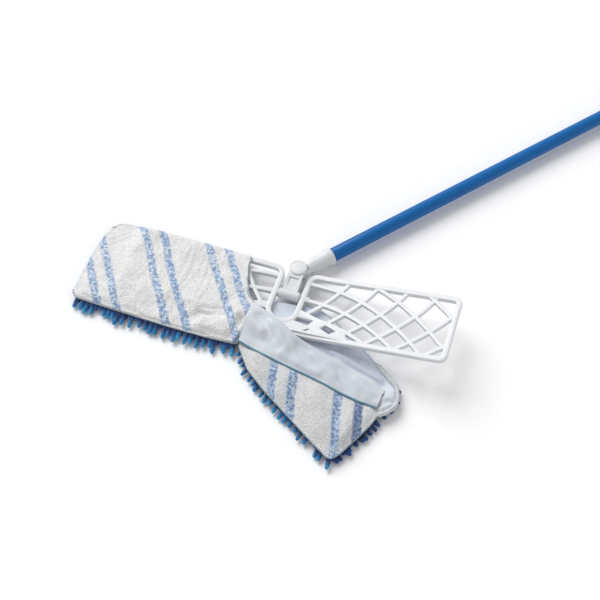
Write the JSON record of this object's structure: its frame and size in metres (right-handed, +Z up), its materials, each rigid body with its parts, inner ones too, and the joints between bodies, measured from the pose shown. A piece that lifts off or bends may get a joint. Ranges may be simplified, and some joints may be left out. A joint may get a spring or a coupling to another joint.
{
  "type": "flat mop",
  "caption": "Flip-type flat mop lying down: flexible lattice frame, two-sided chenille and terry cover half pulled off, two-way knuckle and long tube handle.",
  "frame": {"origin": "on the floor, under the solid front of the hub, on the line halfway between the two wing ends", "axes": "+Z up from the floor; +X along the lattice frame towards its bare wing; +Y from the hub towards the handle"},
  "size_m": [1.0357, 1.1831, 0.0526],
  "materials": {
    "frame_plastic": "moulded satin white",
    "knuckle_plastic": "smooth cool white",
    "pin_steel": "drawn",
    "tube_paint": "satin blue plastic coating",
    "blue_plastic": "moulded",
    "chenille": "looped chenille",
    "terry": "short pile with slanted stripes",
    "backing": "woven",
    "lining": "smooth knit",
    "hem_thread": "overlocked edge"
  },
  "bodies": {
    "head": {"frame_left": "frame_plastic", "axle": "pin_steel", "axle_bush_left": "knuckle_plastic", "axle_bush_right": "knuckle_plastic"},
    "bare_wing": {"frame_right": "frame_plastic"},
    "neck": {"neck_block": "knuckle_plastic", "knuckle_pin": "pin_steel", "knuckle_cap_top": "knuckle_plastic", "knuckle_cap_bottom": "knuckle_plastic"},
    "handle": {"ferrule": "knuckle_plastic", "handle_tube": "tube_paint", "tube_insert": "blue_plastic", "end_cap": "blue_plastic"},
    "cover": {"pile_left": "chenille", "base_left": "backing", "lining_left": "lining", "pocket_left": "terry", "binding_left": "hem_thread", "mouth_hem_left": "hem_thread", "pile_right": "chenille", "base_right": "backing", "lining_right": "lining", "flap_right": "terry", "cuff_right": "lining", "cuff_hem_right": "hem_thread", "binding_right": "hem_thread", "corner_tab_right": "lining"}
  },
  "joints": [
    {"name": "neck_pivot", "type": "hinge", "parent": "head", "child": "neck", "pos_m": [0, 0.048, 0.014], "axis": [1, 0, 0], "range_deg": [-95, 110]},
    {"name": "knuckle_swing", "type": "hinge", "parent": "neck", "child": "handle", "pos_m": [0, 0.085, 0.014], "axis": [0, 0, 1], "range_deg": [-16, 94]},
    {"name": "wing_flex", "type": "hinge", "parent": "head", "child": "bare_wing", "pos_m": [0.034, 0.04, 0.0175], "axis": [0, -1, 0], "range_deg": [-11, 19], "stiffness_Nm_per_rad": 6},
    {"name": "cover_slide", "type": "slide", "parent": "head", "child": "cover", "axis": [-1, 0, 0], "range_m": [0, 0.24]}
  ]
}
